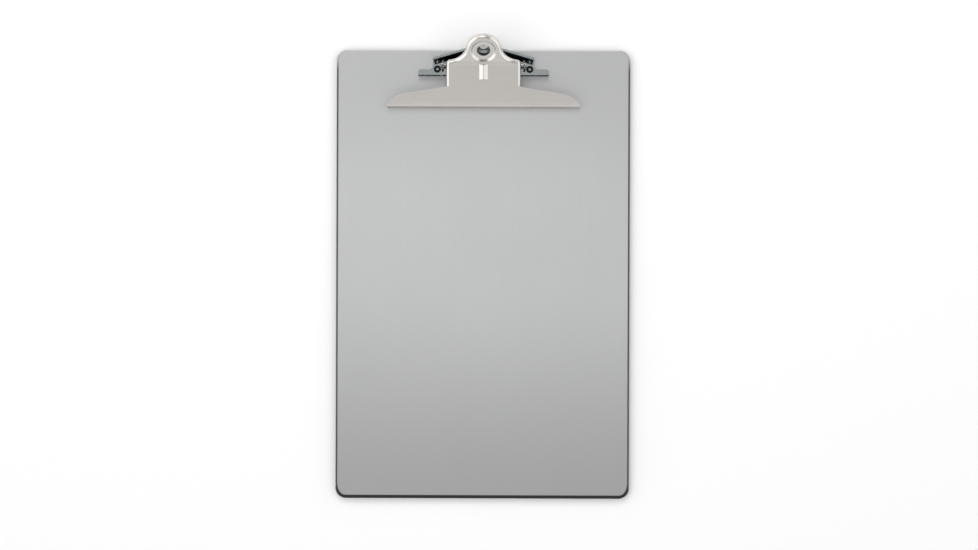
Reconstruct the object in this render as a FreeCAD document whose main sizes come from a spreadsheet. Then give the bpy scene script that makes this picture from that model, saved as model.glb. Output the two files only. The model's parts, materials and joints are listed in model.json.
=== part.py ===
"""Metal clipboard with a butterfly spring clip.

Frame: origin at the centre of the board's back face, X across the board, +Y towards the clip,
+Z out of the writing face. Millimetres.
"""
import FreeCAD, Part
import os
import Sketcher
from FreeCAD import Placement, Rotation, Vector
from math import atan2, cos, degrees, radians, sin, sqrt, tan

DIMENSIONS = {
    # Board: one flat aluminium sheet.
    "board_width": 228.6,
    "board_length": 349.25,
    "board_thickness": 2.0,
    "board_corner_radius": 8.0,
    "board_face_round": 1.2,
    "board_back_round": 0.3,
    # Hinge line, parallel to X.
    "hinge_y": 162.2,
    "hinge_z": 10.5,
    "pin_radius": 1.6,
    "pin_shoulder_x": 32.0,
    "pin_half_length": 33.4,
    "pin_head_radius": 2.2,
    "pin_head_edge": 0.5,
    # Base plate: steel sheet on the board's face.
    "base_thickness": 1.0,
    "base_front_y": 154.2,
    "base_wing_x": 50.6,
    "base_wing_y": 159.4,
    "base_side_x": 39.5,
    "base_side_y": 168.5,
    "base_inner_round": 3.0,
    "base_wing_round": 1.5,
    "stop_thickness": 1.0,
    "stop_top_z": 5.5,
    "tongue_half_width": 6.2,
    "tongue_root_y": 178.2,
    "tongue_centre_y": 179.8,
    "tongue_hole_radius": 4.2,
    "ridge_top_z": 5.0,
    "ridge_crest": 1.6,
    "ridge_foot": 5.6,
    "ridge_length": 31.0,
    "bead_x": 35.0,
    "bead_width": 1.6,
    "bead_front_y": 164.2,
    "bead_top_z": 4.2,
    "bead_round": 0.7,
    "ear_x": 31.0,
    "ear_thickness": 1.0,
    "ear_radius": 3.6,
    "ear_bend": 0.9,
    "ear_foot_front_y": 157.6,
    "ear_foot_back_y": 166.8,
    # Rivets through the base plate and the board.
    "rivet_x": 36.0,
    "rivet_y": 159.7,
    "rivet_radius": 1.6,
    "rivet_head_depth": 1.1,
    "rivet_roll_radius": 2.8,
    "rivet_roll_height": 0.9,
    "rivet_roll_edge": 0.45,
    "rivet_hollow_radius": 1.0,
    "rivet_hollow_depth": 2.4,
    # Lever: one formed steel sheet, jaw at the front and thumb tab at the back.
    "lever_thickness": 1.0,
    "jaw_half_length": 75.0,
    "jaw_slope": 17.6,
    "tab_slope": 40.0,
    "knee_y": 163.1,
    "knee_z": 16.46,
    "knee_radius": 8.0,
    "lip_start_y": 133.6,
    "lip_radius": 6.15,
    "lip_slope": 80.0,
    "lever_half_width": 28.8,
    "neck_y": 145.7,
    "wing_knuckle_x": 63.3,
    "wing_knuckle_y": 140.1,
    "wing_tip_y": 131.3,
    "ring_y": 171.7,
    "ring_outer_radius": 13.7,
    "shoulder_hollow_radius": 14.0,
    "shoulder_hollow_angle": 8.0,
    "shoulder_corner_radius": 3.4,
    "flange_depth": 4.6,
    "flange_knee_depth": 3.5,
    "flange_bend_radius": 2.4,
    "flange_front_y": 145.3,
    "flange_low_y": 152.6,
    "flange_low_z": 7.4,
    "flange_lobe_radius": 3.0,
    "pin_clearance": 0.05,
    "dish_radius": 9.9,
    "dish_floor_radius": 8.4,
    "dish_depth": 1.6,
    "dish_wall": 0.9,
    "dish_rim_round": 0.5,
    "ring_hole_radius": 5.2,
    "collar_wall": 0.7,
    "collar_depth": 3.0,
    "crest_width": 6.6,
    "crest_length": 12.2,
    "crest_start": 0.6,
    "crest_height": 1.2,
    "crest_round": 1.2,
    "crest_end_slope": 0.6,
    # Double torsion spring on the pin.
    "wire_radius": 0.7,
    "coil_radius": 2.65,
    "coil_turns": 4.0,
    "coil_pitch": 1.55,
    "coil_outer_x": 20.8,
    "spring_gap": 0.15,
    "foot_leg_slope": 35.0,
    "foot_leg_length": 8.15,
    "corner_radius": 1.6,
}
MIRROR_SIDES = (("right", 1), ("left", -1))
BEYOND = 60.0  # past the lever on every side, for the shapes that trim it
PAST = 2.0  # past a cut, so that a trimming shape leaves no skin
OVERLAP = 0.3  # shared depth of two shapes before they are fused
ON_SURFACE = 0.02
TOLERANCE = 1e-6
ALMOST_ONE = 0.999


def make_sheet(doc):
    """Spreadsheet of the driving dimensions, one alias per row."""
    sheet = doc.addObject("Spreadsheet::Sheet", "dims")
    for row, (alias, value) in enumerate(DIMENSIONS.items(), start=1):
        sheet.set(f"A{row}", alias)
        sheet.set(f"B{row}", str(value))
        sheet.setAlias(f"B{row}", alias)
    doc.recompute()
    return sheet


# ---------------------------------------------------------------- PartDesign helpers


def new_body(doc, label):
    body = doc.addObject("PartDesign::Body", label)
    body.Label = label
    return body


def bind(obj, prop, expression):
    """Tie one property to an expression on the sheet."""
    obj.setExpression(prop, expression)


def attached_sketch(body, name, role):
    """Empty sketch on one of the body's own origin planes."""
    sketch = body.newObject("Sketcher::SketchObject", name)
    support = next(f for f in body.Origin.OriginFeatures if f.Role == role)
    sketch.AttachmentSupport = [(support, "")]
    sketch.MapMode = "FlatFace"
    return sketch


def add_polygon(sketch, corners):
    """Closed polygon; each corner is a pair of expressions for its two sketch coordinates."""
    places = [Vector(*(float(sketch.evalExpression(text)) for text in corner), 0) for corner in corners]
    count = len(corners)
    first = sketch.GeometryCount
    for i in range(count):
        sketch.addGeometry(Part.LineSegment(places[i], places[(i + 1) % count]), False)
    for i in range(count):
        line = first + i
        sketch.addConstraint(Sketcher.Constraint("Coincident", line, 2, first + (i + 1) % count, 1))
    for i, (across, up) in enumerate(corners):
        for kind, text, value in (("DistanceX", across, places[i].x), ("DistanceY", up, places[i].y)):
            index = sketch.addConstraint(Sketcher.Constraint(kind, first + i, 1, value))
            sketch.setExpression(f"Constraints[{index}]", text)


def add_circle(sketch, across, up, radius):
    """Circle whose centre and radius are expressions."""
    x, y, r = (float(sketch.evalExpression(text)) for text in (across, up, radius))
    line = sketch.addGeometry(Part.Circle(Vector(x, y, 0), Vector(0, 0, 1), r), False)
    for kind, text, value in (("DistanceX", across, x), ("DistanceY", up, y)):
        index = sketch.addConstraint(Sketcher.Constraint(kind, line, 3, value))
        sketch.setExpression(f"Constraints[{index}]", text)
    index = sketch.addConstraint(Sketcher.Constraint("Radius", line, r))
    sketch.setExpression(f"Constraints[{index}]", radius)


def add_pad(body, sketch, length, name, reverse=False):
    pad = body.newObject("PartDesign::Pad", name)
    pad.Profile = sketch
    pad.setExpression("Length", length)
    pad.Reversed = reverse
    body.Document.recompute()
    return pad


def add_through_pocket(body, sketch, name, both_ways=False):
    """Pocket through everything on the side of the sketch where the solid is."""
    before = body.Shape.Volume
    pocket = body.newObject("PartDesign::Pocket", name)
    pocket.Profile = sketch
    pocket.Type = "ThroughAll"
    pocket.Midplane = both_ways
    pocket.Reversed = not both_ways
    body.Document.recompute()
    if body.Shape.Volume >= before:
        raise RuntimeError(f"{name} cuts nothing")
    return pocket


def add_edge_feature(body, kind, name, size, chosen, prop):
    """Fillet or Chamfer on the edges of the body's tip that chosen(edge) accepts."""
    tip = body.Tip
    names = [f"Edge{i}" for i, edge in enumerate(tip.Shape.Edges, start=1) if chosen(edge)]
    if not names:
        raise RuntimeError(f"{name} finds no edges")
    feature = body.newObject(f"PartDesign::{kind}", name)
    feature.Base = (tip, names)
    feature.setExpression(prop, size)
    body.Document.recompute()
    return feature


def middle(edge):
    return edge.valueAt((edge.FirstParameter + edge.LastParameter) / 2)


def flat_at(edge, z):
    """True where every corner of the edge, and its middle, lies at height z."""
    spots = [vertex.Point for vertex in edge.Vertexes] + [middle(edge)]
    return all(abs(spot.z - z) < TOLERANCE for spot in spots)


def is_upright(edge):
    return abs(edge.tangentAt(edge.FirstParameter).z) > ALMOST_ONE


# ---------------------------------------------------------------- board


def make_board(doc, sheet):
    """Flat plate with round corners, softened edges and two countersunk rivet holes."""
    body = new_body(doc, "board")
    outline = attached_sketch(body, "board_outline", "XY_Plane")
    half_x, half_y = "dims.board_width / 2", "dims.board_length / 2"
    add_polygon(outline, [
        (f"-{half_x}", f"-{half_y}"), (half_x, f"-{half_y}"), (half_x, half_y), (f"-{half_x}", half_y),
    ])
    add_pad(body, outline, "dims.board_thickness", "board_blank")
    add_edge_feature(body, "Fillet", "board_corners", "dims.board_corner_radius", is_upright, "Radius")
    add_edge_feature(body, "Fillet", "board_face_edge", "dims.board_face_round",
                     lambda edge: flat_at(edge, sheet.board_thickness), "Radius")
    add_edge_feature(body, "Fillet", "board_back_edge", "dims.board_back_round",
                     lambda edge: flat_at(edge, 0), "Radius")
    holes = attached_sketch(body, "board_rivet_holes", "XY_Plane")
    for _, side in MIRROR_SIDES:
        add_circle(holes, f"{side} * dims.rivet_x", "dims.rivet_y", "dims.rivet_radius")
    add_through_pocket(body, holes, "board_rivet_bores")
    add_edge_feature(body, "Chamfer", "board_countersinks", "dims.rivet_head_depth",
                     lambda edge: flat_at(edge, 0) and is_hole_edge(edge, sheet.rivet_radius), "Size")
    return body


def is_hole_edge(edge, radius):
    return isinstance(edge.Curve, Part.Circle) and abs(edge.Curve.Radius - radius) < TOLERANCE


# ---------------------------------------------------------------- base plate


def make_base_plate(doc, sheet):
    """Riveted plate with a paper stop, two hinge ears, rear ridges and a hanging tongue."""
    body = new_body(doc, "base_plate")
    add_base_sheet(body, sheet)
    add_paper_stop(body)
    for side_name, side in MIRROR_SIDES:
        add_ear(body, side_name, side)
    add_edge_feature(body, "Fillet", "ear_bends", "dims.ear_bend",
                     lambda edge: is_ear_foot(edge, sheet), "Radius")
    for side_name, side in MIRROR_SIDES:
        add_bead(body, side_name, side)
    add_edge_feature(body, "Fillet", "bead_rounds", "dims.bead_round",
                     lambda edge: flat_at(edge, sheet.bead_top_z) and runs_along_y(edge), "Radius")
    for side_name, side in MIRROR_SIDES:
        add_ridge(body, side_name, side, sheet)
    holes = attached_sketch(body, "base_holes", "XY_Plane")
    for _, side in MIRROR_SIDES:
        add_circle(holes, f"{side} * dims.rivet_x", "dims.rivet_y", "dims.rivet_radius")
    add_circle(holes, "0", "dims.tongue_centre_y", "dims.tongue_hole_radius")
    add_through_pocket(body, holes, "base_bores")
    pin_hole = attached_sketch(body, "ear_hole", "YZ_Plane")
    add_circle(pin_hole, "dims.hinge_y", "dims.hinge_z", "dims.pin_radius")
    add_through_pocket(body, pin_hole, "ear_bores", both_ways=True)
    return body


def runs_along_y(edge):
    return abs(edge.tangentAt(edge.FirstParameter).y) > ALMOST_ONE


def is_ear_foot(edge, sheet):
    """True for the inside corner between the plate and the outer face of an ear."""
    spot = middle(edge)
    outer = abs(abs(spot.x) - sheet.ear_x - sheet.ear_thickness) < TOLERANCE
    return outer and runs_along_y(edge) and flat_at(edge, sheet.board_thickness + sheet.base_thickness)


def is_corner_at(edge, x, y):
    """True for an upright edge at plan position (+-x, y)."""
    spot = edge.Vertexes[0].Point
    return is_upright(edge) and abs(abs(spot.x) - x) < TOLERANCE and abs(spot.y - y) < TOLERANCE


def add_base_sheet(body, sheet):
    outline = attached_sketch(body, "base_outline", "XY_Plane")
    bind(outline, "AttachmentOffset.Base.z", "dims.board_thickness")
    right = [
        ("dims.base_wing_x", "dims.base_front_y"), ("dims.base_wing_x", "dims.base_wing_y"),
        ("dims.base_side_x", "dims.base_wing_y"), ("dims.base_side_x", "dims.base_side_y"),
        ("dims.tongue_half_width", "dims.tongue_root_y"), ("dims.tongue_half_width", "dims.tongue_centre_y"),
    ]
    left = [(f"-{across}", up) for across, up in reversed(right)]
    add_polygon(outline, right + left)
    add_pad(body, outline, "dims.base_thickness", "base_sheet")
    add_edge_feature(body, "Fillet", "base_inner_corners", "dims.base_inner_round",
                     lambda edge: is_corner_at(edge, sheet.base_side_x, sheet.base_wing_y), "Radius")
    add_edge_feature(body, "Fillet", "base_wing_corners", "dims.base_wing_round",
                     lambda edge: is_corner_at(edge, sheet.base_wing_x, sheet.base_wing_y), "Radius")
    end = attached_sketch(body, "tongue_end", "XY_Plane")
    bind(end, "AttachmentOffset.Base.z", "dims.board_thickness")
    add_circle(end, "0", "dims.tongue_centre_y", "dims.tongue_half_width")
    add_pad(body, end, "dims.base_thickness", "tongue_round")


def add_paper_stop(body):
    """Front edge of the plate turned up, where the sheets of paper are squared."""
    strip = attached_sketch(body, "stop_outline", "XY_Plane")
    bind(strip, "AttachmentOffset.Base.z", "dims.board_thickness")
    back = "dims.base_front_y + dims.stop_thickness"
    add_polygon(strip, [
        ("-dims.base_wing_x", "dims.base_front_y"), ("dims.base_wing_x", "dims.base_front_y"),
        ("dims.base_wing_x", back), ("-dims.base_wing_x", back),
    ])
    add_pad(body, strip, "dims.stop_top_z - dims.board_thickness", "paper_stop")


def add_ear(body, side_name, side):
    """Upright lug with a round top about the hinge line."""
    lug = attached_sketch(body, f"ear_{side_name}_outline", "YZ_Plane")
    bind(lug, "AttachmentOffset.Base.z", f"{side} * dims.ear_x")
    add_polygon(lug, [
        ("dims.ear_foot_front_y", "dims.board_thickness"), ("dims.ear_foot_back_y", "dims.board_thickness"),
        ("dims.hinge_y + dims.ear_radius", "dims.hinge_z"), ("dims.hinge_y - dims.ear_radius", "dims.hinge_z"),
    ])
    add_pad(body, lug, "dims.ear_thickness", f"ear_{side_name}", reverse=side < 0)
    top = attached_sketch(body, f"ear_{side_name}_round", "YZ_Plane")
    bind(top, "AttachmentOffset.Base.z", f"{side} * dims.ear_x")
    add_circle(top, "dims.hinge_y", "dims.hinge_z", "dims.ear_radius")
    add_pad(body, top, "dims.ear_thickness", f"ear_{side_name}_top", reverse=side < 0)


def add_bead(body, side_name, side):
    """Low stiffening bead beside each ear, from the rivet back to the ridge."""
    bead = attached_sketch(body, f"bead_{side_name}_outline", "XY_Plane")
    bind(bead, "AttachmentOffset.Base.z", "dims.board_thickness")
    inner, outer = f"{side} * dims.bead_x", f"{side} * (dims.bead_x + dims.bead_width)"
    add_polygon(bead, [
        (inner, "dims.bead_front_y"), (outer, "dims.bead_front_y"),
        (outer, "dims.base_side_y"), (inner, "dims.base_side_y"),
    ])
    add_pad(body, bead, "dims.bead_top_z - dims.board_thickness", f"bead_{side_name}")


def add_ridge(body, side_name, side, sheet):
    """Rear edge pressed up into a ridge: steep outside, sloping down towards the hinge."""
    run = sheet.base_side_x - sheet.tongue_half_width
    rise = sheet.tongue_root_y - sheet.base_side_y
    turn = degrees(atan2(rise, run)) * side
    section = attached_sketch(body, f"ridge_{side_name}_section", "YZ_Plane")
    corner = Vector(sheet.base_side_y, 0, side * sheet.base_side_x)
    section.AttachmentOffset = Placement(corner, Rotation(Vector(0, 1, 0), -turn))
    crest = "-dims.ridge_crest"
    add_polygon(section, [
        ("0", "dims.board_thickness"), ("0", "dims.ridge_top_z"), (crest, "dims.ridge_top_z"),
        ("-dims.ridge_foot", "dims.board_thickness + dims.base_thickness"),
        ("-dims.ridge_foot", "dims.board_thickness"),
    ])
    add_pad(body, section, "dims.ridge_length", f"ridge_{side_name}", reverse=side > 0)


# ---------------------------------------------------------------- pin and rivets


def add_turned_profile(body, name, role, axis_name, corners):
    """Revolve a closed half profile about one axis of its sketch."""
    profile = attached_sketch(body, f"{name}_profile", role)
    add_polygon(profile, corners)
    turned = body.newObject("PartDesign::Revolution", f"{name}_turned")
    turned.Profile = profile
    turned.ReferenceAxis = (profile, [axis_name])
    turned.Angle = 360
    body.Document.recompute()


def make_hinge_pin(doc):
    """Straight pin with staked heads outside the ears."""
    body = new_body(doc, "hinge_pin")
    right = [
        ("dims.pin_half_length", "0"), ("dims.pin_half_length", "dims.pin_head_radius - dims.pin_head_edge"),
        ("dims.pin_half_length - dims.pin_head_edge", "dims.pin_head_radius"),
        ("dims.pin_shoulder_x", "dims.pin_head_radius"), ("dims.pin_shoulder_x", "dims.pin_radius"),
    ]
    left = [(f"-({across})", up) for across, up in reversed(right)]
    add_turned_profile(body, "pin", "XY_Plane", "H_Axis", right + left)
    bind(body, "Placement.Base.y", "dims.hinge_y")
    bind(body, "Placement.Base.z", "dims.hinge_z")
    return body


def make_rivet(doc, side_name, side):
    """Semi-tubular rivet: flush countersunk head behind, rolled end on the base plate."""
    body = new_body(doc, f"{side_name}_rivet")
    seat = "(dims.board_thickness + dims.base_thickness)"
    top = f"{seat} + dims.rivet_roll_height"
    hollow_floor = f"{top} - dims.rivet_hollow_depth"
    add_turned_profile(body, f"{side_name}_rivet", "XZ_Plane", "V_Axis", [
        ("0", "0"), ("dims.rivet_radius + dims.rivet_head_depth", "0"),
        ("dims.rivet_radius", "dims.rivet_head_depth"), ("dims.rivet_radius", seat),
        ("dims.rivet_roll_radius", seat), ("dims.rivet_roll_radius", f"{top} - dims.rivet_roll_edge"),
        ("dims.rivet_roll_radius - dims.rivet_roll_edge", top),
        ("dims.rivet_hollow_radius + dims.rivet_roll_edge", top),
        ("dims.rivet_hollow_radius", f"{top} - dims.rivet_roll_edge"),
        ("dims.rivet_hollow_radius", hollow_floor), ("0", hollow_floor),
    ])
    bind(body, "Placement.Base.x", f"{side} * dims.rivet_x")
    bind(body, "Placement.Base.y", "dims.rivet_y")
    return body


# ---------------------------------------------------------------- lever


def in_section(y, z, x=0.0):
    """Point of the YZ section."""
    return Vector(x, y, z)


def arc_about(centre, radius, start, end):
    """Arc in the YZ section from angle start to angle end, in radians from +Y towards +Z."""
    spots = [centre + in_section(radius * cos(a), radius * sin(a)) for a in (start, (start + end) / 2, end)]
    return Part.Arc(*spots).toShape()


def surface_run(sheet, depth, front_y, overrun):
    """Edges of the sheet's surface, depth below its top: jaw plate, knee and tab, front to back."""
    jaw, tab = radians(sheet.jaw_slope), radians(sheet.tab_slope)
    jaw_up, tab_up = jaw + radians(90), tab + radians(90)
    knee = in_section(sheet.knee_y, sheet.knee_z)
    sink = in_section(cos(jaw_up), sin(jaw_up)) * depth
    start = knee - in_section(1, tan(jaw)) * (sheet.knee_y - front_y) - sink
    knee_reach = sheet.knee_radius * tan((tab - jaw) / 2)
    knee_start = knee - in_section(cos(jaw), sin(jaw)) * knee_reach
    knee_centre = knee_start + in_section(cos(jaw_up), sin(jaw_up)) * sheet.knee_radius
    bend = arc_about(knee_centre, sheet.knee_radius + depth, jaw_up - radians(180), tab_up - radians(180))
    reach = sheet.ring_outer_radius + overrun
    end = ring_centre(sheet) + in_section(cos(tab), sin(tab)) * reach
    end = end - in_section(cos(tab_up), sin(tab_up)) * depth
    return [Part.makeLine(start, bend.Vertexes[0].Point), bend, Part.makeLine(bend.Vertexes[-1].Point, end)]


def ends(run):
    """First and last point of a run of edges."""
    return run[0].Vertexes[0].Point, run[-1].Vertexes[-1].Point


def closed_face(edges, spots):
    """Face bounded by a run of edges and then straight lines through the given points."""
    start, end = ends(edges)
    corners = [end] + spots + [start]
    lines = [Part.makeLine(corners[i], corners[i + 1]) for i in range(len(corners) - 1)]
    return Part.Face(Part.Wire(Part.__sortEdges__(edges + lines)))


def sheet_section(sheet):
    """Closed section of the formed sheet: lip, jaw plate, knee and tab, one thickness deep."""
    jaw_up = radians(sheet.jaw_slope + 90)
    lip_start = ends(surface_run(sheet, 0, sheet.lip_start_y, 0))[0]
    lip_centre = lip_start - in_section(cos(jaw_up), sin(jaw_up)) * sheet.lip_radius
    sides = []
    for depth in (0, sheet.lever_thickness):
        lip = arc_about(lip_centre, sheet.lip_radius - depth, radians(sheet.lip_slope + 90), jaw_up)
        sides.append([lip] + surface_run(sheet, depth, sheet.lip_start_y, PAST))
    (tip_top, back_top), (tip_under, back_under) = ends(sides[0]), ends(sides[1])
    caps = [Part.makeLine(tip_top, tip_under), Part.makeLine(back_top, back_under)]
    return Part.Face(Part.Wire(Part.__sortEdges__(sides[0] + sides[1] + caps)))


def ring_centre(sheet):
    """Centre of the hanging ring, on the tab's top surface."""
    climb = (sheet.ring_y - sheet.knee_y) * tan(radians(sheet.tab_slope))
    return in_section(sheet.ring_y, sheet.knee_z + climb)


def tab_frame(sheet):
    """Placement whose XY plane is the tab's top surface, with its origin at the ring's centre."""
    return Placement(ring_centre(sheet), Rotation(Vector(1, 0, 0), sheet.tab_slope))


def jaw_frame(sheet):
    """Placement whose XY plane is the jaw plate's top surface, with its origin at the knee."""
    knee = in_section(sheet.knee_y, sheet.knee_z)
    return Placement(knee, Rotation(Vector(1, 0, 0), sheet.jaw_slope))


def flat_arc(centre, radius, start, end):
    """Arc in a flat XY layout, angles in radians."""
    spots = [centre + Vector(radius * cos(a), radius * sin(a), 0) for a in (start, (start + end) / 2, end)]
    return Part.Arc(*spots).toShape()


def mirrored(shape):
    return shape.mirror(Vector(0, 0, 0), Vector(1, 0, 0))


def tab_outline(sheet, inset):
    """Flat face of the body and tab: straight sides, hollow shoulders and a round top."""
    side_x = sheet.lever_half_width - inset
    corner_x = sheet.lever_half_width - sheet.shoulder_corner_radius
    angle = radians(sheet.shoulder_hollow_angle)
    reach = sheet.ring_outer_radius + sheet.shoulder_hollow_radius
    hollow = Vector(reach * cos(angle), reach * sin(angle), 0)
    drop = sqrt((sheet.shoulder_hollow_radius + sheet.shoulder_corner_radius) ** 2 - (hollow.x - corner_x) ** 2)
    corner = Vector(corner_x, hollow.y - drop, 0)
    lean = atan2(drop, hollow.x - corner_x)
    right = [
        Part.makeLine(Vector(side_x, -BEYOND, 0), Vector(side_x, corner.y, 0)),
        flat_arc(corner, sheet.shoulder_corner_radius - inset, 0, lean),
        flat_arc(hollow, sheet.shoulder_hollow_radius + inset, lean - radians(180), angle - radians(180)),
        flat_arc(Vector(), sheet.ring_outer_radius - inset, angle, radians(90)),
    ]
    edges = right + [mirrored(edge) for edge in right]
    edges.append(Part.makeLine(Vector(-side_x, -BEYOND, 0), Vector(side_x, -BEYOND, 0)))
    return Part.Face(Part.Wire(Part.__sortEdges__(edges)))


def jaw_outline(sheet):
    """Plan view of the jaw: the body's width, then the wings out to their tips."""
    deep_y = sheet.base_front_y - BEYOND
    neck = Vector(sheet.lever_half_width, sheet.neck_y, 0)
    knuckle = Vector(sheet.wing_knuckle_x, sheet.wing_knuckle_y, 0)
    tip = Vector(sheet.jaw_half_length, sheet.wing_tip_y, 0)
    heading = atan2(knuckle.y - neck.y, knuckle.x - neck.x)
    chord = atan2(tip.y - knuckle.y, tip.x - knuckle.x)
    radius = knuckle.distanceToPoint(tip) / (2 * sin(heading - chord))
    normal = heading + radians(90)
    centre = knuckle - Vector(cos(normal), sin(normal), 0) * radius
    wing = flat_arc(centre, radius, normal, normal - 2 * (heading - chord))
    back_y = sheet.neck_y + OVERLAP
    right = [
        Part.makeLine(Vector(sheet.lever_half_width, back_y, 0), neck),
        Part.makeLine(neck, knuckle),
        wing,
        Part.makeLine(tip, Vector(tip.x, deep_y, 0)),
    ]
    edges = right + [mirrored(edge) for edge in right]
    half = sheet.lever_half_width
    edges.append(Part.makeLine(Vector(-half, back_y, 0), Vector(half, back_y, 0)))
    edges.append(Part.makeLine(Vector(-tip.x, deep_y, 0), Vector(tip.x, deep_y, 0)))
    return Part.Face(Part.Wire(Part.__sortEdges__(edges)))


def flange_section(sheet):
    """Side view of the flanged body, filled: from the sheet's top down to the hinge lobe."""
    tab = radians(sheet.tab_slope)
    knee = in_section(sheet.knee_y, sheet.knee_z)
    hinge = in_section(sheet.hinge_y, sheet.hinge_z)
    down = in_section(sin(tab), -cos(tab))
    lobe = sheet.flange_lobe_radius
    top = surface_run(sheet, 0, sheet.flange_front_y, PAST)
    front, back = ends(top)
    plate = closed_face(top, [
        back + down * sheet.flange_depth, knee + down * sheet.flange_knee_depth,
        hinge + in_section(lobe, 0), hinge, hinge - in_section(0, lobe),
        in_section(sheet.flange_low_y, sheet.flange_low_z), front - in_section(0, sheet.lever_thickness),
    ])
    disc = Part.Face(Part.Wire(Part.makeCircle(lobe, hinge, Vector(1, 0, 0))))
    return plate.fuse(disc).removeSplitter()


def hollow_section(sheet):
    """Side view of everything under the sheet, which the body leaves empty."""
    under = surface_run(sheet, sheet.lever_thickness, sheet.flange_front_y - PAST, PAST)
    front, back = ends(under)
    return closed_face(under, [in_section(back.y, 0), in_section(front.y, 0)])


def across(face, half_width):
    """Extrude a YZ section symmetrically along X."""
    solid = face.extrude(Vector(2 * half_width, 0, 0))
    solid.translate(Vector(-half_width, 0, 0))
    return solid


def thick_prism(face, frame):
    """Prism through a flat face, past the lever to each side, set into a frame."""
    prism = face.extrude(Vector(0, 0, 2 * BEYOND))
    prism.translate(Vector(0, 0, -BEYOND))
    prism.Placement = frame.multiply(prism.Placement)
    return prism


def crest_edges(solid, sheet, depth):
    """Edges round the top face of a body filled under the sheet's surface, apart from the cross ones."""
    jaw, tab = radians(sheet.jaw_slope), radians(sheet.tab_slope)
    found = []
    for edge in solid.Edges:
        spot = middle(edge)
        way = edge.tangentAt((edge.FirstParameter + edge.LastParameter) / 2)
        over = spot.y - sheet.knee_y
        jaw_top = sheet.knee_z + over * tan(jaw) - depth / cos(jaw)
        tab_top = sheet.knee_z + over * tan(tab) - depth / cos(tab)
        if spot.z > max(jaw_top, tab_top) - ON_SURFACE and abs(way.x) < ALMOST_ONE:
            found.append(edge)
    return found


def lever_blank(sheet):
    """Formed sheet cut to its outline, with a rounded flange turned down round the body and tab."""
    width = sheet.jaw_half_length + PAST
    thick, bend = sheet.lever_thickness, sheet.flange_bend_radius
    frame = tab_frame(sheet)
    filled = thick_prism(tab_outline(sheet, 0), frame).common(across(flange_section(sheet), width))
    filled = filled.makeFillet(bend, crest_edges(filled, sheet, 0))
    hollow = thick_prism(tab_outline(sheet, thick), frame).common(across(hollow_section(sheet), width))
    hollow = hollow.makeFillet(bend - thick, crest_edges(hollow, sheet, thick))
    jaw = across(sheet_section(sheet), width).common(thick_prism(jaw_outline(sheet), Placement()))
    return filled.cut(hollow).fuse(jaw).removeSplitter()


def add_dish(lever, sheet):
    """Round dish pressed into the tab, with a drawn collar round the hanging hole in its floor."""
    wall, depth = sheet.dish_wall, sheet.dish_depth
    floor = depth + wall
    foot = floor + sheet.collar_depth
    mouth = sheet.dish_radius + (sheet.dish_radius - sheet.dish_floor_radius) * PAST / depth
    cup = Part.makeCone(sheet.dish_floor_radius + wall, sheet.dish_radius + wall, floor, Vector(0, 0, -floor))
    collar = Part.makeCylinder(sheet.ring_hole_radius + sheet.collar_wall, foot, Vector(0, 0, -foot))
    hollow = Part.makeCone(sheet.dish_floor_radius, mouth, depth + PAST, Vector(0, 0, -depth))
    hole = Part.makeCylinder(sheet.ring_hole_radius, foot + 2 * PAST, Vector(0, 0, -foot - PAST))
    for piece in (cup, collar, hollow, hole):
        piece.Placement = tab_frame(sheet)
    lever = lever.fuse(cup).fuse(collar).cut(hollow).cut(hole).removeSplitter()
    rim = [edge for edge in lever.Edges if is_dish_rim(edge, sheet)]
    return lever.makeFillet(sheet.dish_rim_round, rim)


def is_dish_rim(edge, sheet):
    """True for the circles at the top and the foot of the dish's sloping wall."""
    if not isinstance(edge.Curve, Part.Circle):
        return False
    centre = tab_frame(sheet).inverse().multVec(edge.Curve.Center)
    rims = ((sheet.dish_radius, 0), (sheet.dish_floor_radius, -sheet.dish_depth))
    return any(abs(edge.Curve.Radius - radius) < TOLERANCE and abs(centre.z - z) < TOLERANCE
               for radius, z in rims)


def flat_face(spots):
    """Face through corner points in order."""
    return Part.Face(Part.makePolygon(spots + spots[:1]))


def add_crest(lever, sheet):
    """Stiffening crest below the ring: two flanks that meet in a rounded line along the jaw."""
    half, height, length = sheet.crest_width / 2, sheet.crest_height, sheet.crest_length
    roof = flat_face([
        Vector(-half, 0, 0), Vector(0, 0, height), Vector(half, 0, 0),
        Vector(half, 0, -OVERLAP), Vector(-half, 0, -OVERLAP),
    ])
    end = sheet.crest_end_slope
    side = flat_face([
        Vector(-half, 0, -OVERLAP), Vector(-half, -length, -OVERLAP), Vector(-half, -length, 0),
        Vector(-half, end - length, height), Vector(-half, -end, height), Vector(-half, 0, 0),
    ])
    crest = roof.extrude(Vector(0, -length, 0)).common(side.extrude(Vector(2 * half, 0, 0)))
    line = [edge for edge in crest.Edges if flat_at(edge, height)]
    crest = crest.makeFillet(sheet.crest_round, line)
    crest.Placement = jaw_frame(sheet).multiply(Placement(Vector(0, -sheet.crest_start, 0), Rotation()))
    return lever.fuse(crest).removeSplitter()


def make_lever(doc, sheet):
    """Formed lever: jaw with a turned-down lip, flanged body on the pin, dished tab."""
    lever = add_dish(lever_blank(sheet), sheet)
    lever = add_crest(lever, sheet)
    bore = Part.makeCylinder(sheet.pin_radius + sheet.pin_clearance, 2 * sheet.jaw_half_length,
                             in_section(sheet.hinge_y, sheet.hinge_z, -sheet.jaw_half_length), Vector(1, 0, 0))
    return add_feature(doc, "lever", lever.cut(bore).removeSplitter())


# ---------------------------------------------------------------- spring


def bridge_place(sheet):
    """Section point of the spring's bridge, just under the dish."""
    tab = radians(sheet.tab_slope)
    depth = sheet.dish_depth + sheet.dish_wall + sheet.spring_gap + sheet.wire_radius
    along = sheet.knee_y - sheet.ring_y
    return ring_centre(sheet) + in_section(cos(tab), sin(tab)) * along + in_section(sin(tab), -cos(tab)) * depth


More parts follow.
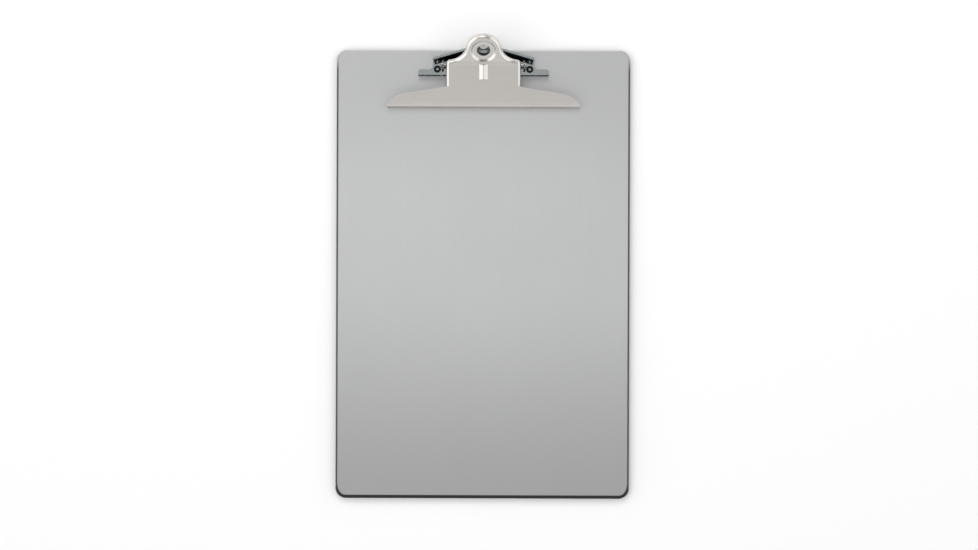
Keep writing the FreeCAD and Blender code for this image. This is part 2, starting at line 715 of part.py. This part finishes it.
def coil_spot(sheet, angle, x):
    hinge = in_section(sheet.hinge_y, sheet.hinge_z)
    return hinge + in_section(sheet.coil_radius * cos(angle), sheet.coil_radius * sin(angle), x)


def coil_heading(sheet, angle):
    """Direction along the wire, outwards from the bridge to the foot."""
    advance = sheet.coil_pitch / radians(360)
    way = in_section(-sheet.coil_radius * sin(angle), sheet.coil_radius * cos(angle), advance)
    return way.normalize()


def half_spring(sheet):
    """Right half: half the bridge, its leg, the coil round the pin and the foot on the base plate."""
    bridge = bridge_place(sheet)
    offset = bridge - in_section(sheet.hinge_y, sheet.hinge_z)
    reach = sqrt(offset.y ** 2 + offset.z ** 2 - sheet.coil_radius ** 2)
    top_angle = atan2(offset.z, offset.y) + atan2(reach, sheet.coil_radius)
    foot_angle = radians(270 - sheet.foot_leg_slope)
    sweep = foot_angle - top_angle + radians(360) * sheet.coil_turns
    width = sheet.coil_pitch * sweep / radians(360)
    top = coil_spot(sheet, top_angle, sheet.coil_outer_x - width)
    foot = coil_spot(sheet, foot_angle, sheet.coil_outer_x)
    inward = coil_heading(sheet, top_angle)
    flat = sqrt(inward.y ** 2 + inward.z ** 2)
    corner = top - inward * (reach / flat)
    foot_end = foot + coil_heading(sheet, foot_angle) * sheet.foot_leg_length
    bend = sheet.corner_radius
    bend_in = corner - Vector(bend, 0, 0)
    bend_out = corner + inward * bend
    bend_middle = corner + (inward - Vector(1, 0, 0)) * bend * (1 - sqrt(0.5))
    coil = Part.makeHelix(sheet.coil_pitch, width, sheet.coil_radius)
    turned = Rotation(Vector(0, 0, 1), degrees(top_angle))
    laid = Placement(in_section(sheet.hinge_y, sheet.hinge_z, top.x), Rotation(Vector(1, 1, 1), 120))
    coil.Placement = laid.multiply(Placement(Vector(), turned))
    edges = [
        Part.makeLine(in_section(corner.y, corner.z), bend_in),
        Part.Arc(bend_in, bend_middle, bend_out).toShape(), Part.makeLine(bend_out, top),
    ]
    edges += coil.Edges + [Part.makeLine(foot, foot_end)]
    path = Part.Wire(Part.__sortEdges__(edges))
    start = in_section(corner.y, corner.z)
    section = Part.Wire(Part.makeCircle(sheet.wire_radius, start, Vector(1, 0, 0)))
    return path.makePipeShell([section], True, False)


def make_spring(doc, sheet):
    """Double torsion spring: two coils on the pin, feet on the base plate, bridge under the tab."""
    half = half_spring(sheet)
    return add_feature(doc, "torsion_spring", half.fuse(mirrored(half)).removeSplitter())


def add_feature(doc, label, shape):
    feature = doc.addObject("Part::Feature", label)
    feature.Label = label
    feature.Shape = shape
    feature.Placement = Placement()
    return feature


# ---------------------------------------------------------------- assembly


def check_document(doc, pieces):
    """Stop on any failed object, null or invalid shape, or a piece that isn't one solid."""
    for obj in doc.Objects:
        if {"Invalid", "Error"} & set(obj.State):
            raise RuntimeError(f"{obj.Name} failed: {obj.State}")
    for piece in pieces:
        shape = piece.Shape
        if shape.isNull() or not shape.isValid() or len(shape.Solids) != 1:
            raise RuntimeError(f"{piece.Label} has a bad shape")
        box = shape.BoundBox
        print(f"{piece.Label:16s} {shape.Volume:10.1f} mm3  "
              f"x {box.XMin:7.2f} {box.XMax:7.2f}  y {box.YMin:7.2f} {box.YMax:7.2f}  "
              f"z {box.ZMin:6.2f} {box.ZMax:6.2f}")


def main():
    doc = FreeCAD.newDocument("clipboard")
    sheet = make_sheet(doc)
    pieces = [make_board(doc, sheet), make_base_plate(doc, sheet), make_hinge_pin(doc)]
    pieces += [make_rivet(doc, side_name, side) for side_name, side in MIRROR_SIDES]
    pieces += [make_lever(doc, sheet), make_spring(doc, sheet)]
    doc.recompute()
    check_document(doc, pieces)
    os.makedirs("parts", exist_ok=True)
    for piece in pieces:
        piece.Shape.exportStep(f"parts/{piece.Label}.step")


main()
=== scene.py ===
"""Looks of the metal clipboard: a spring in two halves, procedural metals, pale floor and soft studio light."""
import json
from math import atan2, cos, pi, radians, sin, sqrt

import bmesh
import bpy
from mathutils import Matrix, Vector


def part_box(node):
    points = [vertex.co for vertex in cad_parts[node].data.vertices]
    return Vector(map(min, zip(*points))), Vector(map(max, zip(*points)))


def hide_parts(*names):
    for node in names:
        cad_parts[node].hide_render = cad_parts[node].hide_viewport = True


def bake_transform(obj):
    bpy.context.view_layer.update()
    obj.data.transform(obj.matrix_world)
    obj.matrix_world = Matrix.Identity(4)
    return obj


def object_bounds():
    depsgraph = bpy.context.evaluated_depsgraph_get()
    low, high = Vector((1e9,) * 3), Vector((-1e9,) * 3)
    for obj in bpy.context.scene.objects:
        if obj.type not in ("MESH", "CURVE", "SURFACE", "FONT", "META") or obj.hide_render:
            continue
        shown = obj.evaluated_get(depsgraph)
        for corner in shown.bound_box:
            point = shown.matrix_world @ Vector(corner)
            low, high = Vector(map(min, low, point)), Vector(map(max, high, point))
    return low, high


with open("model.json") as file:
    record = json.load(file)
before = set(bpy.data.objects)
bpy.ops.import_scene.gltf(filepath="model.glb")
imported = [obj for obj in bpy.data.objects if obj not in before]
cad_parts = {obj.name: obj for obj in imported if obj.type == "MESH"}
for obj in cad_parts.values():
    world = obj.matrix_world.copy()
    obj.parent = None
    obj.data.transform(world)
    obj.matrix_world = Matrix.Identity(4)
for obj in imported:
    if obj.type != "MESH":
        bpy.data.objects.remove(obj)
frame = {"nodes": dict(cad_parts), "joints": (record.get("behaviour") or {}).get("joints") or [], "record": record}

CAD_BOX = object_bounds()
NODES = frame["nodes"]
MM = 0.001

# Camera: height, aim point and clip range in metres, roll in degrees, lens and sensor in millimetres
CAMERA_HEIGHT = 2.0
CAMERA_AIM = (0.0048, -0.0005)
CAMERA_CLIP = (0.01, 50)
CAMERA_ROLL = 0.2
CAMERA_LENS = 94.4
CAMERA_SENSOR = 36

# Stage: the floor lies a small gap under the board
FLOOR_HALF = 4.0
FLOOR_GAP = 2 * MM
FLOOR_WHITE = 0.93

# Surround, by its direction's X (left wall to right wall) and Y (front to back), each from -1 to 1
WALL_SPAN = (0.38, 0.6)
WALL_LEFT, WALL_RIGHT = 1.7, 1.4
WALL_CHANGE = 0.3
FRONT_SPAN = (-0.48, -0.30)
FRONT_LIGHT, TOP_LIGHT = 0.86, 0.10
BACK_SPAN = (0.25, 0.6)
BACK_EXTRA = 0.22
DIP_NEAR, DIP_FAR = (-0.70, -0.84), (-0.98, -0.90)
DIP_LIGHT = -0.18
HORIZON_SPAN = (-0.98, -0.999)
HORIZON_EXTRA = 0.6

# Board: corner radius, and width of the painted shade band along its sides and its front end
BOARD_CORNER = 8.0 * MM
SIDE_SHADE_BAND = 1.5 * MM
FRONT_SHADE_BAND = 2.7 * MM
SHADE_BAND_FADE = (0.15 * MM, -0.35 * MM)

# Paper stop of the base plate: width of the painted shade along its front edge, and that edge's height
STOP_SHADE_WIDTH = 1.0 * MM
STOP_TOP_Z = 5.5 * MM

# Upward part of the normal on the ridges' inner slopes, where the painted reflection fades in and out
RIDGE_FADE_IN, RIDGE_FADE_OUT = (0.84, 0.88), (0.94, 0.91)

# Rivet: radius where the painted dark reflection on the ring gives way to the painted highlight in the hollow
RIVET_FADE = (1.15 * MM, 0.95 * MM)

# Linear colours. A pair is the darker and the lighter tone of one metal.
ALUMINIUM = ((0.578, 0.583, 0.588), (0.608, 0.612, 0.616))
# Painted shade: the board is darker towards its front end and a little towards its clip end, where the light falls
# off
PAINTED_SHADE_ALUMINIUM = (0.445, 0.446, 0.450)
# Painted shade: dark band along the board's sides, near black at its front end
PAINTED_SHADE_AT_SIDE = (0.05, 0.05, 0.051)
PAINTED_SHADE_AT_FRONT = (0.015, 0.015, 0.016)
LEVER_NICKEL = ((0.645, 0.620, 0.590), (0.680, 0.657, 0.625))
# Painted shade: black inside the lever's hang-hole bore
BORE_PAINTED_SHADE = (0.006, 0.006, 0.006)
PLATE_NICKEL = ((0.205, 0.224, 0.224), (0.240, 0.257, 0.257))
# Painted shade: black along the paper stop's front edge
STOP_PAINTED_SHADE = (0.02, 0.022, 0.024)
# Painted reflection: black on the ridges' inner slopes, for the lever's dark underside reflected there
RIDGE_PAINTED_REFLECTION = (0.022, 0.024, 0.026)
# Painted reflection and highlight: near black on the rivet's rolled ring, bright in its hollow
RIVET_PAINTED_DARK_RING = ((0.012, 0.013, 0.014), (0.03, 0.03, 0.032))
RIVET_PAINTED_HIGHLIGHT = ((0.42, 0.43, 0.43), (0.55, 0.56, 0.56))
PIN_STEEL = ((0.20, 0.20, 0.20), (0.30, 0.30, 0.30))
SPRING_STEEL = ((0.14, 0.14, 0.15), (0.24, 0.24, 0.25))

# Surface detail: span of noise that a tone change takes up, bump depth and strength, softened edge
TONE_SPAN = (0.3, 0.7)
BRUSHED_SPAN = (0.25, 0.75)
BUMP_DEPTH = 0.02 * MM
FINE_BUMP = 0.2
BRUSHED_BUMP = 0.25
SOFT_EDGE = 0.25 * MM

# Spring, with its bridge's place in the YZ section. Slope and turns are in degrees and whole turns.
WIRE_RADIUS = 0.7 * MM
WIRE_SIDES = 20
COIL_RADIUS = 2.65 * MM
COIL_PITCH = 1.55 * MM
COIL_TURNS = 4
COIL_OUTER_X = 20.8 * MM
FOOT_SLOPE = 35
FOOT_LENGTH = 8.15 * MM
BRIDGE_BEND = 1.6 * MM
BRIDGE_SPOT = (0.16727, 0.01558)
BEND_STEPS = 8
STEPS_PER_TURN = 28

# Rounded end of the wire: distance back from the tip and size of each ring, in wire radii
TIP_RINGS = ((0.35, 1.0), (0.12, 0.94), (0.0, 0.72))


# ---------------------------------------------------------------- node helpers


def new_material(name):
    material = bpy.data.materials.new(name)
    material.use_nodes = True
    material.node_tree.nodes.clear()
    return material


class Graph:
    """Short calls for building one node tree."""

    def __init__(self, tree):
        self.tree = tree

    def node(self, kind, inputs=None, **settings):
        made = self.tree.nodes.new(kind)
        for key, value in settings.items():
            setattr(made, key, value)
        for key, value in (inputs or {}).items():
            self.feed(made.inputs[key], value)
        return made

    def feed(self, socket, value):
        if isinstance(value, bpy.types.NodeSocket):
            self.tree.links.new(value, socket)
        elif socket.type == "RGBA" and len(value) == 3:
            socket.default_value = (*value, 1)
        else:
            socket.default_value = value

    def math(self, operation, first, second=0.0, third=0.0):
        made = self.node("ShaderNodeMath", {0: first, 1: second, 2: third}, operation=operation)
        return made.outputs[0]

    def vector_math(self, operation, first, second=(0, 0, 0)):
        return self.node("ShaderNodeVectorMath", {0: first, 1: second}, operation=operation).outputs

    def weigh(self, first, share, second):
        """The first value's share, plus the second's for the rest."""
        return self.math("MULTIPLY_ADD", first, share, self.math("MULTIPLY", second, 1 - share))

    def ramp(self, value, low, high, to_low=0.0, to_high=1.0):
        """Smooth step of a value between low and high."""
        made = self.node("ShaderNodeMapRange", {
            "Value": value, "From Min": low, "From Max": high, "To Min": to_low, "To Max": to_high,
        }, interpolation_type="SMOOTHSTEP")
        return made.outputs["Result"]

    def split(self, vector):
        return self.node("ShaderNodeSeparateXYZ", {0: vector}).outputs

    def coords(self, kind="Object"):
        return self.node("ShaderNodeTexCoord").outputs[kind]

    def grain(self, scale, detail=3.0, roughness=0.5):
        """Noise in object coordinates, with a scale per axis."""
        spot = self.node("ShaderNodeMapping", {"Vector": self.coords(), "Scale": scale})
        made = self.node("ShaderNodeTexNoise", {
            "Vector": spot.outputs["Vector"], "Scale": 1.0, "Detail": detail, "Roughness": roughness,
        })
        return made.outputs[0]

    def mix(self, factor, first, second):
        # Inputs 6 and 7 and output 2 are the node's colour sockets
        made = self.node("ShaderNodeMix", {0: factor, 6: first, 7: second}, data_type="RGBA")
        return made.outputs[2]

    def bump(self, height, strength=FINE_BUMP, edge=0.0):
        """Bump over a normal that is softened at the sheet's sharp edges."""
        inputs = {"Height": height, "Distance": BUMP_DEPTH, "Strength": strength}
        if edge:
            inputs["Normal"] = self.node("ShaderNodeBevel", {"Radius": edge}, samples=4).outputs[0]
        return self.node("ShaderNodeBump", inputs).outputs["Normal"]

    def radius_about(self, place, axis):
        """Distance from a line in object coordinates, and the distance along it."""
        offset = self.vector_math("SUBTRACT", self.coords(), place)[0]
        along = self.vector_math("DOT_PRODUCT", offset, axis)["Value"]
        length = self.vector_math("LENGTH", offset)["Value"]
        along_square = self.math("MULTIPLY", along, along)
        square = self.math("SUBTRACT", self.math("MULTIPLY", length, length), along_square)
        return self.math("SQRT", self.math("MAXIMUM", square)), along

    def edge_distance(self, node, corner):
        """Distance inwards from a round-cornered plate's outline."""
        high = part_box(node)[1]
        spot = self.split(self.coords())
        beyond = []
        for axis in (0, 1):
            past = self.math("SUBTRACT", self.math("ABSOLUTE", spot[axis]), high[axis] - corner)
            beyond.append(self.math("MAXIMUM", past))
        y_square = self.math("MULTIPLY", beyond[1], beyond[1])
        square = self.math("MULTIPLY_ADD", beyond[0], beyond[0], y_square)
        return self.math("SUBTRACT", corner, self.math("SQRT", square))

    def metal(self, colour, roughness, normal, anisotropy=0.0, along=None, metallic=1.0):
        shader = self.node("ShaderNodeBsdfPrincipled", {
            "Metallic": metallic, "Base Color": colour, "Roughness": roughness, "Normal": normal,
            "Anisotropic": anisotropy,
        })
        if along is not None:
            way = self.node("ShaderNodeCombineXYZ", {"X": along[0], "Y": along[1], "Z": along[2]})
            self.feed(shader.inputs["Tangent"], way.outputs[0])
        self.node("ShaderNodeOutputMaterial", {"Surface": shader.outputs[0]})


# ---------------------------------------------------------------- materials


def brushed_aluminium():
    """Board sheet: fine grain along Y, painted shade darkening it towards its ends, a painted shade band along its
    edge.
    """
    material = new_material("brushed_aluminium")
    graph = Graph(material.node_tree)
    fine = graph.grain((5200, 46, 5200), detail=4, roughness=0.65)
    coarse = graph.grain((900, 9, 900))
    cloud = graph.grain((14, 9, 14), detail=4)
    streak = graph.weigh(fine, 0.65, coarse)
    tone = graph.weigh(cloud, 0.35, streak)
    face = graph.mix(graph.ramp(tone, *TONE_SPAN), *ALUMINIUM)

    along_y = graph.split(graph.coords())[1]
    # Painted shade: darker towards the front end and a little towards the clip end
    front_painted_shade = graph.ramp(along_y, 0.0, -0.18)
    back_painted_shade = graph.ramp(along_y, 0.05, 0.16, 0.0, 0.4)
    face = graph.mix(graph.math("ADD", front_painted_shade, back_painted_shade), face, PAINTED_SHADE_ALUMINIUM)

    # The painted shade band along the edge is widest and darkest at the front end, and nearly fades out at the
    # clip's end
    inset = graph.edge_distance("board", BOARD_CORNER)
    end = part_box("board")[1].y - BOARD_CORNER
    strength = graph.ramp(along_y, end - 0.01, end + 0.006, 0.96, 0.15)
    front = graph.ramp(along_y, 0.006 - end, -0.006 - end)
    edge = graph.mix(front, PAINTED_SHADE_AT_SIDE, PAINTED_SHADE_AT_FRONT)
    width = graph.ramp(front, 0, 1, SIDE_SHADE_BAND, FRONT_SHADE_BAND)
    painted_shade_band = graph.ramp(graph.math("SUBTRACT", inset, width), *SHADE_BAND_FADE)
    colour = graph.mix(graph.math("MULTIPLY", painted_shade_band, strength), face, edge)

    roughness = graph.ramp(tone, *BRUSHED_SPAN, 0.40, 0.46)
    normal = graph.bump(streak, BRUSHED_BUMP)
    graph.metal(colour, roughness, normal, anisotropy=0.5, along=(0, 1, 0), metallic=0.62)
    return material


def satin_nickel():
    """Lever: warm satin nickel with a fine peel, faint wiping, soft edges and painted shade blackening its bore.
    """
    material = new_material("satin_nickel")
    graph = Graph(material.node_tree)
    peel = graph.grain((2600, 2600, 2600), detail=2)
    wipe = graph.grain((60, 900, 900))
    cloud = graph.grain((45, 45, 45), detail=4)
    tone = graph.weigh(cloud, 0.6, wipe)
    colour = graph.mix(graph.ramp(tone, *TONE_SPAN), *LEVER_NICKEL)

    bore = next(m for m in frame["record"]["mounts"] if m["name"] == "lever_hang_hole")
    radius = bore["dims"]["r_mm"] * MM
    reach = bore["dims"]["length_mm"] * MM / 2
    # Painted shade: the bore of the hang hole is coloured near black
    radial, along = graph.radius_about(bore["pos_m"], bore["axis"])
    within_wall = graph.ramp(radial, radius + 0.3 * MM, radius + 0.1 * MM)
    within_length = graph.ramp(along, reach, reach - 0.15 * MM)
    colour = graph.mix(graph.math("MULTIPLY", within_wall, within_length), colour, BORE_PAINTED_SHADE)

    roughness = graph.ramp(tone, *TONE_SPAN, 0.27, 0.33)
    height = graph.math("MULTIPLY_ADD", peel, 0.7, wipe)
    graph.metal(colour, roughness, graph.bump(height, edge=SOFT_EDGE))
    return material


def handled(graph):
    """Cloudy tone with fine handling marks in it, and the marks alone."""
    cloud = graph.grain((120, 120, 120), detail=4)
    marks = graph.grain((300, 2400, 2400))
    return graph.weigh(cloud, 0.6, marks), marks


def base_nickel():
    """Base plate: cool nickel, with painted shade on the paper stop's front edge and a painted reflection on the
    ridges' inner slopes.
    """
    material = new_material("base_nickel")
    graph = Graph(material.node_tree)
    tone, marks = handled(graph)
    colour = graph.mix(graph.ramp(tone, *TONE_SPAN), *PLATE_NICKEL)

    _, along_y, up = graph.split(graph.coords())
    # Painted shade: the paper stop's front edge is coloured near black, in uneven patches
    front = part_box("base_plate")[0].y
    near_front = graph.ramp(along_y, front + STOP_SHADE_WIDTH, front + 0.7 * STOP_SHADE_WIDTH)
    near_top = graph.ramp(up, STOP_TOP_Z - 0.6 * MM, STOP_TOP_Z - 0.1 * MM)
    patchy_shade = graph.ramp(graph.grain((420, 420, 420), detail=2), 0.62, 0.70, 1.0, 0.25)
    edge = graph.math("MULTIPLY", graph.math("MULTIPLY", near_front, near_top), patchy_shade)
    colour = graph.mix(edge, colour, STOP_PAINTED_SHADE)

    # Painted reflection: the ridges' inner slopes are coloured near black, for the lever's dark underside
    facing = graph.split(graph.coords("Normal"))[2]
    painted_slope_reflection = graph.math("MULTIPLY", graph.ramp(facing, *RIDGE_FADE_IN), graph.ramp(facing, *RIDGE_FADE_OUT))
    colour = graph.mix(painted_slope_reflection, colour, RIDGE_PAINTED_REFLECTION)

    roughness = graph.ramp(tone, *TONE_SPAN, 0.14, 0.22)
    graph.metal(colour, roughness, graph.bump(marks, edge=SOFT_EDGE))
    return material


def rivet_metal(node):
    """Rivet: painted dark reflection on its rolled ring round a painted highlight in its hollow."""
    material = new_material(f"{node}_metal")
    graph = Graph(material.node_tree)
    low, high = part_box(node)
    centre = ((low.x + high.x) / 2, (low.y + high.y) / 2, 0)
    radial, _ = graph.radius_about(centre, (0, 0, 1))
    marks = graph.grain((900, 900, 900))
    # Painted dark reflection on the ring and painted highlight in the hollow
    ring = graph.mix(marks, *RIVET_PAINTED_DARK_RING)
    hollow = graph.mix(marks, *RIVET_PAINTED_HIGHLIGHT)
    colour = graph.mix(graph.ramp(radial, *RIVET_FADE), ring, hollow)
    roughness = graph.ramp(marks, *TONE_SPAN, 0.3, 0.42)
    graph.metal(colour, roughness, graph.bump(marks))
    return material


def plated_steel(name, tones, gloss):
    """Plated steel with soft tone changes and fine handling marks."""
    material = new_material(name)
    graph = Graph(material.node_tree)
    tone, marks = handled(graph)
    colour = graph.mix(graph.ramp(tone, *TONE_SPAN), *tones)
    roughness = graph.ramp(tone, *TONE_SPAN, gloss, gloss + 0.08)
    graph.metal(colour, roughness, graph.bump(marks, edge=SOFT_EDGE))
    return material


def give(node, material):
    """Put one material in every slot of a CAD node."""
    for slot in NODES[node].material_slots:
        slot.material = material


# ---------------------------------------------------------------- spring


def spring_path(hinge):
    """Right half's centre line (bridge, rounded corner, leg, coil, foot), and X at its coil's inner end."""
    bridge = Vector((0, *BRIDGE_SPOT))
    offset = bridge - hinge
    reach = sqrt(offset.y ** 2 + offset.z ** 2 - COIL_RADIUS ** 2)
    top_angle = atan2(offset.z, offset.y) + atan2(reach, COIL_RADIUS)
    foot_angle = radians(270 - FOOT_SLOPE)
    sweep = foot_angle - top_angle + 2 * pi * COIL_TURNS
    width = COIL_PITCH * sweep / (2 * pi)

    def coil_spot(angle, x):
        return Vector((x, hinge.y + COIL_RADIUS * cos(angle), hinge.z + COIL_RADIUS * sin(angle)))

    def heading(angle):
        rise = COIL_PITCH / (2 * pi)
        return Vector((rise, -COIL_RADIUS * sin(angle), COIL_RADIUS * cos(angle))).normalized()

    top = coil_spot(top_angle, COIL_OUTER_X - width)
    inward = heading(top_angle)
    corner = top - inward * (reach / sqrt(inward.y ** 2 + inward.z ** 2))
    start, end = corner - Vector((BRIDGE_BEND, 0, 0)), corner + inward * BRIDGE_BEND
    points = [Vector((0, corner.y, corner.z))]
    for i in range(BEND_STEPS + 1):
        share = i / BEND_STEPS
        points.append(start.lerp(corner, share).lerp(corner.lerp(end, share), share))
    coil_steps = STEPS_PER_TURN * COIL_TURNS
    for i in range(coil_steps + 1):
        share = i / coil_steps
        points.append(coil_spot(top_angle + sweep * share, COIL_OUTER_X - width * (1 - share)))
    points.append(points[-1] + heading(foot_angle) * FOOT_LENGTH)
    return points, top.x


def sweep_wire(name, points, radius):
    """Round wire along a path, with its far end slightly rounded over."""
    stations = [(point, radius) for point in points[:-1]]
    tip_way = (points[-1] - points[-2]).normalized()
    for back, share in TIP_RINGS:
        stations.append((points[-1] - tip_way * radius * back, radius * share))

    rings = []
    way = (points[1] - points[0]).normalized()
    across = way.cross(Vector((0, 0, 1))).normalized()
    bm = bmesh.new()
    for i, (point, size) in enumerate(stations):
        before = stations[max(i - 1, 0)][0]
        after = stations[min(i + 1, len(stations) - 1)][0]
        way = (after - before).normalized()
        across = (across - way * across.dot(way)).normalized()
        up = way.cross(across)
        ring = []
        for k in range(WIRE_SIDES):
            angle = 2 * pi * k / WIRE_SIDES
            ring.append(bm.verts.new(point + (across * cos(angle) + up * sin(angle)) * size))
        rings.append(ring)
    for near, far in zip(rings, rings[1:]):
        for k in range(WIRE_SIDES):
            j = (k + 1) % WIRE_SIDES
            bm.faces.new((near[k], near[j], far[j], far[k]))
    bm.faces.new(rings[-1])
    bm.faces.new(list(reversed(rings[0])))
    bmesh.ops.recalc_face_normals(bm, faces=bm.faces)

    data = bpy.data.meshes.new(name)
    bm.to_mesh(data)
    bm.free()
    data.shade_smooth()
    made = bpy.data.objects.new(name, data)
    bpy.context.scene.collection.objects.link(made)
    return made


def make_spring(material):
    """Two mirrored halves of the wire, each from the bridge through its coil to its foot, in place of the CAD
    spring.
    """
    joint = next(j for j in frame["joints"] if j["name"] == "lever_hinge")
    hinge = Vector(joint["pos_m"])
    path, inner_x = spring_path(hinge)
    for side_name, side in (("right", 1), ("left", -1)):
        points = [Vector((side * p.x, p.y, p.z)) for p in path]
        half = sweep_wire(f"spring_{side_name}_half", points, WIRE_RADIUS)
        half.data.materials.append(material)
        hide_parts("torsion_spring")
        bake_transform(half)


# ---------------------------------------------------------------- stage, light and camera


def make_floor():
    data = bpy.data.meshes.new("floor")
    corners = [(x * FLOOR_HALF, y * FLOOR_HALF, 0) for x, y in ((-1, -1), (1, -1), (1, 1), (-1, 1))]
    data.from_pydata(corners, [], [(0, 1, 2, 3)])
    floor = bpy.data.objects.new("floor", data)
    bpy.context.scene.collection.objects.link(floor)
    floor.location.z = CAD_BOX[0].z - FLOOR_GAP
    material = new_material("floor_white")
    graph = Graph(material.node_tree)
    shader = graph.node("ShaderNodeBsdfDiffuse", {"Color": (FLOOR_WHITE,) * 3})
    graph.node("ShaderNodeOutputMaterial", {"Surface": shader.outputs[0]})
    data.materials.append(material)


def make_world():
    """Soft studio surround: bright side walls, pale front, dim back, darkest overhead."""
    world = bpy.data.worlds.new("studio")
    bpy.context.scene.world = world
    world.use_nodes = True
    world.node_tree.nodes.clear()
    graph = Graph(world.node_tree)
    across, ahead, _ = graph.split(graph.coords("Generated"))
    wall = graph.ramp(graph.math("ABSOLUTE", across), *WALL_SPAN)
    wall_light = graph.ramp(across, -WALL_CHANGE, WALL_CHANGE, WALL_LEFT, WALL_RIGHT)
    calm = graph.ramp(ahead, *FRONT_SPAN, FRONT_LIGHT, TOP_LIGHT)
    calm = graph.math("ADD", calm, graph.ramp(ahead, *BACK_SPAN, 0.0, BACK_EXTRA))
    dip = graph.math("MULTIPLY", graph.ramp(ahead, *DIP_NEAR), graph.ramp(ahead, *DIP_FAR))
    calm = graph.math("MULTIPLY_ADD", dip, DIP_LIGHT, calm)
    calm = graph.math("ADD", calm, graph.ramp(ahead, *HORIZON_SPAN, 0.0, HORIZON_EXTRA))
    strength = graph.math("MULTIPLY_ADD", graph.math("SUBTRACT", wall_light, calm), wall, calm)
    background = graph.node("ShaderNodeBackground", {"Color": (1, 1, 1), "Strength": strength})
    graph.node("ShaderNodeOutputWorld", {"Surface": background.outputs[0]})


def make_light(name, place, target, size, glow):
    """Rectangular softbox; glow is its brightness, so power follows from its size."""
    data = bpy.data.lights.new(name, "AREA")
    data.shape = "RECTANGLE"
    data.size, data.size_y = size
    data.energy = pi * size[0] * size[1] * glow
    light = bpy.data.objects.new(name, data)
    light.location = place
    light.rotation_euler = (Vector(target) - Vector(place)).to_track_quat("-Z", "Y").to_euler()
    bpy.context.scene.collection.objects.link(light)


def make_camera():
    data = bpy.data.cameras.new("camera")
    data.sensor_width = CAMERA_SENSOR
    data.lens = CAMERA_LENS
    data.clip_start, data.clip_end = CAMERA_CLIP
    camera = bpy.data.objects.new("camera", data)
    camera.location = (*CAMERA_AIM, CAMERA_HEIGHT)
    camera.rotation_euler = (0, 0, radians(CAMERA_ROLL))
    bpy.context.scene.collection.objects.link(camera)
    bpy.context.scene.camera = camera
    bpy.context.scene.view_settings.view_transform = "Standard"
    bpy.context.scene.view_settings.look = "None"


give("board", brushed_aluminium())
give("lever", satin_nickel())
give("base_plate", base_nickel())
give("hinge_pin", plated_steel("pin_steel", PIN_STEEL, gloss=0.22))
for rivet in ("left_rivet", "right_rivet"):
    give(rivet, rivet_metal(rivet))
make_spring(plated_steel("spring_wire", SPRING_STEEL, gloss=0.28))

make_floor()
make_world()
make_light("overhead", place=(-0.14, 0.17, 2.1), target=(-0.14, 0.17, 0), size=(1.3, 0.62), glow=1.4)
make_light("key", place=(-0.3, 1.9, 1.5), target=(0, 0, 0), size=(1.2, 0.9), glow=5.2)
make_camera()
